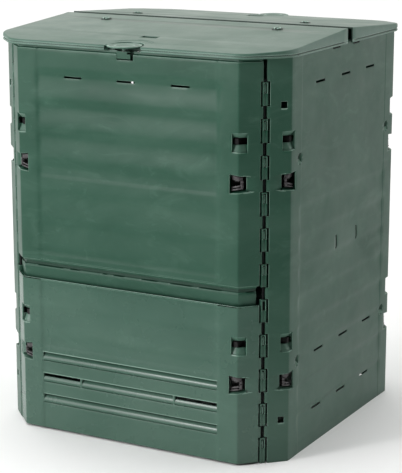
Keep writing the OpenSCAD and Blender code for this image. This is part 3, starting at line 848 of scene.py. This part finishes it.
def make_flap():
    rows = [LOUVRE_Z + i * LOUVRE_PITCH for i in range(3)]

    def cut(s, z):
        return abs(s) < FIELD and any(r < z < r + LOUVRE_H for r in rows)

    # painted highlights along the top edges of the louvre slots and along the flap's top edge
    def bright(s, z):
        over_slot = abs(s) < FIELD - 0.5 and any(-0.1 < z - r - LOUVRE_H < 1.8 for r in rows)
        return 0.9 if over_slot or z > FLAP_TOP - 0.1 else 0.0

    zs = [z for r in rows for z in (r, *(r + LOUVRE_H + e for e in (0, 1.7, 3.4)))]
    form = front_wall(FLAP_LOW, FLAP_TOP, (222, 392, 2.6), (0, 4), POCKET_LOW,
                      [-FIELD, FIELD], [*zs, FLAP_TOP - 3.5], cut, bright)
    # no painted highlight on the lower edges of the louvre slots
    painted_light = form.painted_light_layer()
    for v in form.bm.verts:
        if abs(v.co.x) < FIELD - 1 and any(abs(v.co.z - r) < 1.2 for r in rows):
            v[painted_light] = 0.0
    trims = Form()
    ss = lines(-BEND - NOTCH_U + 2, BEND + NOTCH_U - 2, 16, BEND_LINES)
    trims.sheet(ss, [FLAP_TOP - WALL_T, FLAP_TOP], lambda s, z: 0.0, lambda s, z: True, BAND_STEP - 1)
    for side in (-1, 1):
        for i in range(0, 4):
            hook(trims, block_z(i), side)
    form.add(trims.round_edges(0.8))
    blades = Form()
    low, middle, high = rows
    left, right = -LOUVRE_CLOSED, LOUVRE_CLOSED - 6
    louvre(blades, low, -FIELD, FIELD, False)
    louvre(blades, high, -FIELD, FIELD, False)
    louvre(blades, middle, -FIELD, left - 1, True)
    louvre(blades, middle, left + 1, right - 1, False)
    louvre(blades, middle, right + 1, FIELD, True)
    for x in (left, right):
        blades.box(x - 1.6, x + 1.6, -HALF + 0.1, -HALF + LOUVRE_D + 3, middle - 0.5, middle + LOUVRE_H + 0.5)
    form.add(blades.round_edges(0.5))
    add_pockets(form, POCKET_LOW)
    return form


def make_side_wall():
    """Side wall drawn with its face along -Y."""
    dimples = [(e * DIMPLE_S, z) for e in (-1, 1) for z in DIMPLE_ZS]
    mouths = [POCKET_HIGH - POCKET_DROP, POCKET_LOW - POCKET_DROP]
    xs, zs = [], [*notch_marks(0, 10), *pocket_marks(POCKET_HIGH), *pocket_marks(POCKET_LOW)]
    for row in SLOT_ROWS:
        across, along = slot_marks(*row)
        xs += across
        zs += along
    xs += [x + e * SLOT_H / 2 for x in UPRIGHT_SLOTS for e in (-1, 1)]
    xs += [x + e * BEAM_SLOT_HALF for x in BEAM_SLOTS for e in (-1, 1)]
    xs += both([BEND + u for u in (11, 13.5, 24.5, 27)] + [DIMPLE_S + e for e in (-11, -8, -4, 0, 4, 8, 11)])
    zs += [h + e for h in SQUARE_HOLES for e in (-11.6, -9.8, -SQUARE_HOLE_HALF, SQUARE_HOLE_HALF)]
    zs += [UPRIGHT_LOW, UPRIGHT_TOP, BEAM_SLOT_LOW, BEAM_SLOT_TOP]
    zs += [z + k for z in DIMPLE_ZS for k in (-14, -10, -5, 0, 5, 10, 14)]

    def depth(s, z):
        d = field_depth(s, z, 30, 640, 4.0) + rolled(s) + ramp_depth(s, z, mouths)
        for cs, cz in dimples:
            r = math.hypot((s - cs) / 11.0, (z - cz) / 14.0)
            if r < 1:
                d += 7.5 * smooth((1 - r) / 0.3)
        return d

    # painted highlights under the square holes and on the pockets' lower lips; each dimple gets a painted
    # highlight low and painted shade high
    def bright(s, z):
        if BEND + 13 < abs(s) < BEND + 25 and any(-10 < z - h < 0.1 - SQUARE_HOLE_HALF for h in SQUARE_HOLES):
            return 1.0
        for cs, cz in dimples:
            if abs(s - cs) < 8.1 and abs(z - cz) < 11:
                return 1.0 if z - cz < -4 else -0.6 if z - cz > -1 else 0.0
        return lip(s, z, mouths)

    def by_slot(s, z, reach):
        return any(in_slots(s, z, row, reach) for row in SLOT_ROWS) or in_uprights(s, z, reach)

    def keep(s, z):
        if in_notch(s, z, 0, 10) or in_pocket(s, z, POCKET_HIGH) or in_pocket(s, z, POCKET_LOW):
            return False
        if by_slot(s, z, 0.0):
            return False
        if any(abs(s - x) < BEAM_SLOT_HALF for x in BEAM_SLOTS) and BEAM_SLOT_LOW < z < BEAM_SLOT_TOP:
            return False
        level = any(abs(z - h) < SQUARE_HOLE_HALF for h in SQUARE_HOLES)
        return not (level and BEND + 11 < abs(s) < BEND + 27)

    def thickness(s, z):
        return SLOT_RIM_T if by_slot(s, z, 0.1) else WALL_T

    form = Form()
    form.sheet(lines(-BEND - FLANGE_U, BEND + FLANGE_U, 11, [*EDGE_S, *xs]), lines(0, WALL_TOP, 6, zs),
               depth, keep, thickness, lambda s, z: flare(s, z, mouths), bright)
    form.round_edges(0.8)
    # painted shade: the rims of the slots are painted nearly black
    painted_light = form.painted_light_layer()
    for v in form.bm.verts:
        if by_slot(v.co.x, v.co.z, 0.4):
            v[painted_light] = -1.0
    add_pockets(form, POCKET_HIGH, POCKET_LOW)
    blocks = Form()
    for side in (-1, 1):
        for i in range(KNUCKLES):
            knuckle(blocks, block_z(i), side, KNUCKLE_Z - 1 if i == 0 else 0.0)
    form.add(blocks.round_edges(0.6, angle=50))
    return form


# ---- lid ---------------------------------------------------------------------------------------
def wing_z(y):
    return RIDGE_Z - SLOPE * (abs(y) - RIDGE_Y)


def lid_outline(inset):
    """Right half outline of the front wing, from the ridge gap round the corner to the front middle."""
    h, k, r = LID_HALF - inset, LID_CHAMFER - inset * 0.586, LID_ROUND - inset
    pts = [(h, -RIDGE_Y - (h - k - RIDGE_Y) * t / 12) for t in range(12)]
    near, far = math.cos(math.radians(22.5)), math.sin(math.radians(22.5))
    q = r / near
    side_bend = (h - q * near, -(h - k - q * far))
    front_bend = (h - k - q * far, -(h - q * near))
    for centre, first, last in ((side_bend, 0, 45), (front_bend, 45, 90)):
        for a in range(first, last + 1, 5):
            t = math.radians(a)
            pts.append((centre[0] + r * math.cos(t), centre[1] - r * math.sin(t)))
    return pts


RIM_STEPS = [  # (inset, measured from the rim's foot or down from the top surface, millimetres)
    (LID_T, "foot", 0.0), (0.7, "foot", 0.0), (0.0, "foot", 0.9), (0.0, "foot", 3.8), (3.4, "foot", 4.4),
    (3.4, "foot", 7.2), (0.1, "foot", 7.8), (0.3, "top", 3.4), (1.0, "top", 1.5), (2.2, "top", 0.45),
    (3.8, "top", 0.0)]


def make_wing():
    """Front wing: sloping skin with a beaded rim, cut for the latch disc, studs and hand slot."""
    form = Form()
    plain = lid_outline(0)
    rows = []
    for inset, kind, value in RIM_STEPS:
        row = []
        outline = lid_outline(inset)
        # the groove in the rim runs out before the ridge end
        outline[0] = lid_outline(LID_T if inset == LID_T else min(inset, 0.1))[0]
        for (x, y), (_, y0) in zip(outline, plain):
            row.append((x, y, RIM_Z + value if kind == "foot" else wing_z(y0) - value))
        rows.append(row + [(-x, y, z) for x, y, z in reversed(row)])
    rows.insert(0, [(x, y, wing_z(y) - LID_T) for x, y, z in rows[0]])
    vs = form.grid(rows)
    count = len(vs[0])
    for k in range(count // 2 - 1):
        for rim in (vs[0], vs[-1]):
            form.face([rim[k], rim[k + 1], rim[count - 2 - k], rim[count - 1 - k]])
    form.face([row[0] for row in vs] + [row[-1] for row in reversed(vs)])
    form.settle()
    # thick pad under the skin that carries the latch, and two shields beside it
    pad = Form()
    ring = [(PAD_R * math.cos(t), max(-LID_HALF + 27, -LATCH_Y + 54 * math.sin(t)))
            for t in (2 * math.pi * k / 72 for k in range(72))]
    pad.solid(ring, PAD_LOW, PAD_TOP)
    for v in pad.bm.verts:
        if v.co.z > (PAD_LOW + PAD_TOP) / 2:
            v.co.z = wing_z(v.co.y) - 1.0
    shields = [Form().box(x0, x1, -LID_HALF + 20, -LID_HALF + 23, 986, 1003.5)
               for x0, x1 in ((-PAD_R, -33), (34, PAD_R))]

    def drill(x, y, r, low, steps):
        return Form().lathe([(0, low), (r, low), (r, ABOVE), (0, ABOVE)], (x, y), steps)

    cutters = [drill(0, -LATCH_Y, SEAT_R, PAD_TOP, 96),
               Form().box(-52, LATCH_NOTCH, -LID_HALF - 20, -LID_HALF + 6, RIM_Z - 3, ABOVE),
               Form().box(-23, 23, -292, -268, 1000, ABOVE),
               drill(0, -LATCH_Y, STEM_R + 0.2, 985, 32),
               *(drill(e * STUD_X, -STUD_Y, STUD_HOLE, 1000, 40) for e in (-1, 1))]
    form.carve([solid.settle() for solid in (pad, *shields)], "UNION")
    form.carve([solid.settle() for solid in cutters], "DIFFERENCE")
    form.round_edges(0.7)
    # painted shade along the ridge gap and round the stud holes
    painted_light = form.painted_light_layer()
    for v in form.bm.verts:
        from_stud = math.hypot(abs(v.co.x) - STUD_X, v.co.y + STUD_Y) - STUD_HOLE
        if v.co.y > -RIDGE_Y - 0.5:
            v[painted_light] = -0.8
        elif from_stud < 0.05:
            v[painted_light] = -0.7
        elif from_stud < 0.8:
            v[painted_light] = -0.4
    return form.add(make_wing_trim())


def make_wing_trim():
    """Collars round the stud holes, painted in deep shade, and low guide arcs moulded round the latch seat.
    """
    trim = Form()

    def turned_strip(centre_x, centre_y, angles, section):
        """Rows of a (radius, height above the wing) section about a centre."""
        rows = []
        for t in angles:
            rows.append([(centre_x + r * math.cos(t), centre_y + r * math.sin(t),
                          wing_z(-centre_y - r * math.sin(t)) + h) for r, h in section])
        return rows

    r = STUD_HOLE
    collar = [(r, -0.8), (r, 1.7), (r + 2.2, 1.7), (r + 2.8, -0.8)]
    circle = [2 * math.pi * k / 40 for k in range(40)]
    for e in (-1, 1):
        trim.grid(turned_strip(e * STUD_X, -STUD_Y, circle, collar), close_u=True, close_v=True)
    for v in trim.bm.verts:
        v[trim.painted_light_layer()] = -1.0
    for r, a0, a1 in ((66, 38, 142), (74, 50, 95)):
        section = [(r - 1.2, -0.4), (r - 0.5, 0.55), (r + 0.5, 0.55), (r + 1.2, -0.4)]
        angles = [math.radians(a0 + (a1 - a0) * k / 32) for k in range(33)]
        trim.close_ends(trim.grid(turned_strip(0, -LATCH_Y, angles, section), close_v=True))
    return trim.settle()


def make_latch():
    """Latch disc with a raised rim and boss, on its stem."""
    form = Form()
    top = DISC_TOP
    r = DISC_R - DISC_GAP
    form.lathe([(0, top - 6), (24, top - 6), (r - 6, top - 4.4), (r - 1.0, top - 3.6), (r, top - 2.8),
                (r, top - 1.4), (r - 0.6, top - 0.4), (r - 1.8, top), (r - 3.6, top), (r - 5.2, top - 1.3),
                (27, top - 1.6), (25.0, top - 0.4), (22.5, top - 0.3), (20, top - 1.9), (0, top - 2.1)],
               (0, -LATCH_Y), 96)
    # painted highlight on the top of the disc's rim and boss
    painted_light = form.painted_light_layer()
    for v in form.bm.verts:
        v[painted_light] = 0.45 if v.co.z > top - 0.5 else 0.0
    form.lathe([(0, 990), (STEM_R, 990), (STEM_R, top - 5.5), (0, top - 5.5)], (0, -LATCH_Y), 32)
    return form.settle()


def make_latch_foot():
    """Plate below the latch, with an open slit at its right-hand end for the bridge on the panel."""
    form = Form()
    left, right, slit = -20, 17, 8
    slit_low, slit_top, top = BRIDGE_LOW - 1.1, BRIDGE_TOP + 1.1, 991
    outline = [(left, FOOT_LOW), (right, FOOT_LOW), (right, slit_low), (slit, slit_low),
               (slit, slit_top), (right, slit_top), (right, top), (left, top)]
    form.solid(outline, -LATCH_Y - 3, -LATCH_Y + 3, lambda x, z, y: (x, y, z))
    return form.settle()


def make_clip():
    """Spring clip that keeps the latch stem under the wing: an open ring with flat ends."""
    form = Form()
    inner, outer, low, top = STEM_R + 0.1, STEM_R + 2.4, 991.3, 992.2
    rows = []
    for k in range(33):
        a = math.radians(110 + 320 * k / 32)
        rows.append([(r * math.cos(a), -LATCH_Y + r * math.sin(a), z)
                     for r, z in ((inner, low), (outer, low), (outer, top), (inner, top))])
    form.close_ends(form.grid(rows, close_v=True))
    return form.settle()


def make_stud():
    """Split stud: a shank through the hinge arm and two half-moon heads above the wing."""
    form = Form()
    base = wing_z(STUD_Y) - LID_T
    painted_light = form.painted_light_layer()
    r = STUD_R - 2.8
    split = 2.4
    profile = [(0.25, 1.0), (1.0, 1.0), (1.0, 6.6), (0.94, 7.8),
               (0.82, 8.3), (0.50, 8.2), (0.36, 7.2), (0.25, 7.0)]
    for e in (-1, 1):
        rows = []
        for k in range(17):
            t = math.radians(-90 + 180 * k / 16)
            row = []
            for q, h in profile:
                back = r * q * math.sin(t)
                aside = split + (r - split) * q * math.cos(t)
                row.append((STUD_X + e * aside, back - STUD_Y, base + h + SLOPE * back))
            rows.append(row)
        head = form.grid(rows, close_v=True)
        form.close_ends(head)
        # painted highlight on the upper part of each head
        for row in head:
            for v in row[2:6]:
                v[painted_light] = 0.7
        form.face([row[0] for row in head])
        form.face([row[-1] for row in head][::-1])
    form.lathe([(0, base - 17), (7, base - 17), (8.5, base - 15), (8.5, base - 13), (7, base - 11.8),
                (7, base + 4), (0, base + 4)], (STUD_X, -STUD_Y), 32)
    return form.settle()


# ---- assembly ----------------------------------------------------------------------------------
panel, flap, side_wall = make_front_panel(), make_flap(), make_side_wall()
wing, latch, foot, clip, stud = make_wing(), make_latch(), make_latch_foot(), make_clip(), make_stud()
claw = Form()
for side in (-1, 1):
    for z in (POCKET_HIGH, POCKET_LOW):
        claws(claw, z, side)
claw.round_edges(0.4)

for name, turn in (("front", 0), ("rear", 180)):
    lid, turner, puller = name + "_lid", name + "_turn_latch", name + "_removal_flap"
    panel.copy().piece(name + "_panel_skin", "bin", "wall_plastic", WALL, [name + "_panel"], turn)
    flap.copy().piece(name + "_flap_skin", puller, "wall_plastic", FLAP, [name + "_flap"], turn)
    wing.copy().piece(name + "_wing_skin", lid, "lid_plastic", LID, [name + "_wing"], turn)
    latch.copy().piece(name + "_latch_disc", turner, "lid_plastic", LID, [name + "_latch"], turn)
    clip.copy().piece(name + "_spring_clip", turner, "clip_steel", CLIP, [name + "_latch_clip"], turn)
    foot.copy().piece(name + "_latch_foot", turner, "lid_plastic", WALL, (), turn)
for name, turn in (("left", -90), ("right", 90)):
    side_wall.copy().piece(name + "_wall_skin", "bin", "wall_plastic", WALL, [name + "_wall"], turn)
for name, turn in (("front", 0), ("right", 90), ("rear", 180), ("left", 270)):
    claw.copy().piece(name + "_brace_claws", "bin", "inner_plastic", CLAW, (), turn)
for end, y in (("front", 1), ("rear", -1)):
    for hand, x in (("right", 1), ("left", -1)):
        stud_name = f"{end}_{hand}_stud"
        head = Form().add(stud, (x, y))
        head.piece(stud_name + "_head", end + "_lid", "lid_plastic", LID, [stud_name])

REPLACED = ("panel", "flap", "wall", "wing", "latch", "clip", "stud")
for node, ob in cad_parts.items():
    if node.endswith(REPLACED):
        continue
    # the CAD parts inside the bin are coloured near black as painted shade
    look = ROD if "rod" in node else INNER_SHADE
    ob.data.materials.clear()
    ob.data.materials.append(look)

# ---- floor, light, camera ----------------------------------------------------------------------
bpy.context.scene.view_settings.view_transform = "Standard"
mat, nt, bsdf = nodes_of("pale_floor")
coord = nt.nodes.new("ShaderNodeTexCoord").outputs["Object"]
pale = ramp(nt, noise(nt, coord, 1.2, 3), [(0.3, (0.90, 0.90, 0.90)), (0.7, (0.92, 0.92, 0.92))])
nt.links.new(pale, bsdf.inputs["Base Color"])
bsdf.inputs["Roughness"].default_value = 0.9
bsdf.inputs["Specular IOR Level"].default_value = 0.1
FLOOR_HALF = 30000.0
ground = Form()
ground.grid([[(x, y, 0) for y in (-FLOOR_HALF, FLOOR_HALF)] for x in (-FLOOR_HALF, FLOOR_HALF)])
bmesh.ops.transform(ground.bm, matrix=Matrix.Scale(MM, 4), verts=ground.bm.verts)
floor_mesh = bpy.data.meshes.new("floor")
ground.bm.to_mesh(floor_mesh)
floor_mesh.materials.append(mat)
floor = bpy.data.objects.new("floor", floor_mesh)
bpy.context.scene.collection.objects.link(floor)

# studio world: bright behind the object, dim on the side its front right corner faces
world = bpy.data.worlds.new("studio")
bpy.context.scene.world = world
world.use_nodes = True
nt = world.node_tree
toward = nt.nodes.new("ShaderNodeTexCoord").outputs["Generated"]
facing = nt.nodes.new("ShaderNodeVectorMath")
facing.operation = "DOT_PRODUCT"
nt.links.new(toward, facing.inputs[0])
facing.inputs[1].default_value = Vector((-0.55, 0.80, 0.25)).normalized()
glow = nt.nodes.new("ShaderNodeMapRange")
glow.interpolation_type = "SMOOTHSTEP"
for socket, value in (("From Min", -0.1), ("From Max", 0.75), ("To Min", 0.05), ("To Max", 0.9)):
    glow.inputs[socket].default_value = value
nt.links.new(facing.outputs["Value"], glow.inputs["Value"])
nt.nodes["Background"].inputs["Color"].default_value = (1.0, 1.0, 0.97, 1)
nt.links.new(glow.outputs["Result"], nt.nodes["Background"].inputs["Strength"])


def aimed(name, data, toward, at=(0, 0, 0)):
    """Links a light that shines along toward; returns its object."""
    ob = bpy.data.objects.new(name, data)
    ob.location = at
    ob.rotation_euler = toward.to_track_quat("-Z", "Y").to_euler()
    bpy.context.scene.collection.objects.link(ob)
    return ob


def soft_sun(name, source, spread, strength):
    """Very wide distant light: direction that it comes from, and the angle its disc fills."""
    light = bpy.data.lights.new(name, "SUN")
    light.angle = math.radians(spread)
    light.energy = strength
    aimed(name, light, -Vector(source))


# small panel light that draws the highlights on the louvres
glint = bpy.data.lights.new("glint", "AREA")
glint.shape = "RECTANGLE"
glint.size, glint.size_y = 0.3, 0.45
glint.energy = 20
glint_at = Vector((-0.92, -2.3, 1.38))
aimed("glint", glint, Vector((0.2, -0.4, 0.15)) - glint_at, glint_at)
soft_sun("overhead", (-0.05, 0.05, 1.0), 50, 1.75)
soft_sun("key_left", (-1.0, -1.15, 0.42), 40, 1.6)
soft_sun("side_right", (1.0, 0.75, 0.35), 45, 0.74)

IMAGE_WIDTH = 402
FOCAL_LENGTH = 1695.62  # in pixels of an image of that width
camera = bpy.data.cameras.new("camera")
camera.sensor_fit = "HORIZONTAL"
camera.sensor_width = 36.0
camera.lens = camera.sensor_width * FOCAL_LENGTH / IMAGE_WIDTH
eye = bpy.data.objects.new("camera", camera)
eye.location = (2.0938, -3.8423, 1.4971)
eye.rotation_euler = (math.radians(90 - 13.395), 0, math.radians(28.711))
bpy.context.scene.collection.objects.link(eye)
bpy.context.scene.camera = eye
